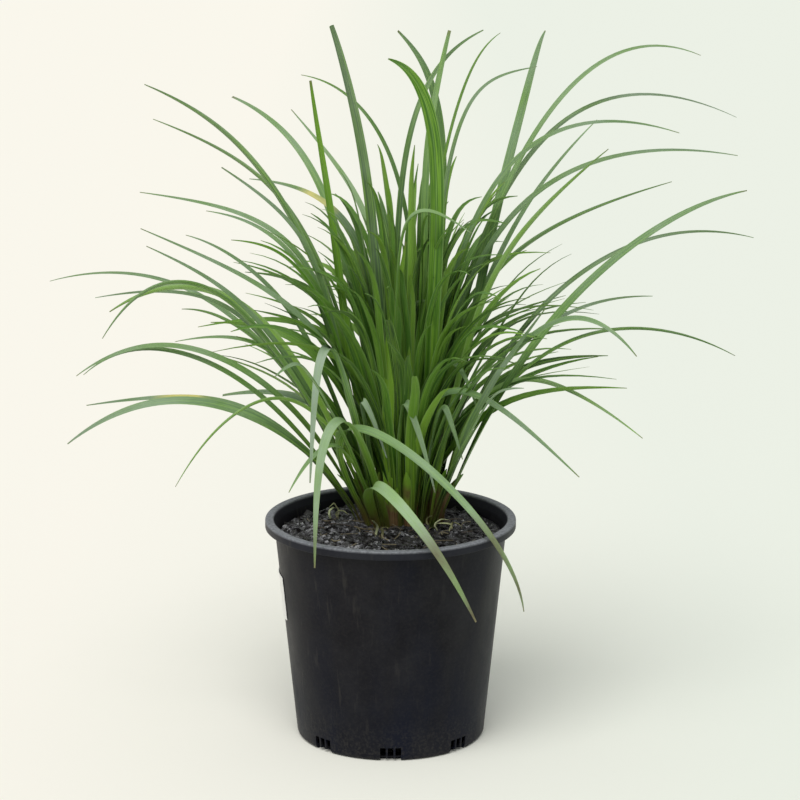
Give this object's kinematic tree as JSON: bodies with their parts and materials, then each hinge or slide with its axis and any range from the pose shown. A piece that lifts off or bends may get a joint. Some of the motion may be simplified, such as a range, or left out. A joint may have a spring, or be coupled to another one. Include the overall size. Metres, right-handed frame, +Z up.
{
  "type": "potted ornamental grass",
  "caption": "Clump of long, narrow, arching green leaves growing from dark potting mix in a round black plastic nursery pot with a blank white label.",
  "frame": {"origin": "centre of the pot's underside, on the ground", "axes": "+Z up through the pot's axis; -Y is the front, where the long leaves hang over the rim; +X is to the right as seen from the front, and the label is on the -X side"},
  "size_m": [0.5746, 0.2781, 0.5686],
  "materials": {
    "black_plastic": "satin",
    "label_white": "matte",
    "potting_mix": "matte",
    "shoot_green": "satin",
    "leaf_green": "satin"
  },
  "bodies": {
    "root": {"pot": "black_plastic", "pot_label": "label_white", "potting_mix": "potting_mix", "shoot_centre": "shoot_green", "shoot_left": "shoot_green", "shoot_front": "shoot_green", "shoot_right": "shoot_green", "shoot_back": "shoot_green", "left_leaf_1": "leaf_green", "left_leaf_2": "leaf_green", "left_leaf_3": "leaf_green", "left_leaf_4": "leaf_green", "left_leaf_5": "leaf_green", "left_leaf_6": "leaf_green", "left_leaf_7": "leaf_green", "left_leaf_8": "leaf_green", "left_leaf_9": "leaf_green", "left_leaf_10": "leaf_green", "left_leaf_11": "leaf_green", "left_leaf_12": "leaf_green", "left_leaf_13": "leaf_green", "left_leaf_14": "leaf_green", "left_leaf_15": "leaf_green", "left_leaf_16": "leaf_green", "left_leaf_17": "leaf_green", "left_leaf_18": "leaf_green", "left_leaf_19": "leaf_green", "left_leaf_20": "leaf_green", "left_leaf_21": "leaf_green", "front_leaf_1": "leaf_green", "front_leaf_2": "leaf_green", "front_leaf_3": "leaf_green", "front_leaf_4": "leaf_green", "front_leaf_5": "leaf_green", "front_leaf_6": "leaf_green", "front_leaf_7": "leaf_green", "upright_leaf_1": "leaf_green", "upright_leaf_2": "leaf_green", "upright_leaf_3": "leaf_green", "upright_leaf_4": "leaf_green", "upright_leaf_5": "leaf_green", "upright_leaf_6": "leaf_green", "upright_leaf_7": "leaf_green", "upright_leaf_8": "leaf_green", "upright_leaf_9": "leaf_green", "right_leaf_1": "leaf_green", "right_leaf_2": "leaf_green", "right_leaf_3": "leaf_green", "right_leaf_4": "leaf_green", "right_leaf_5": "leaf_green", "right_leaf_6": "leaf_green", "right_leaf_7": "leaf_green", "right_leaf_8": "leaf_green", "right_leaf_9": "leaf_green", "right_leaf_10": "leaf_green", "right_leaf_11": "leaf_green", "right_leaf_12": "leaf_green", "right_leaf_13": "leaf_green", "front_leaf_8": "leaf_green", "front_leaf_9": "leaf_green"}
  },
  "joints": []
}
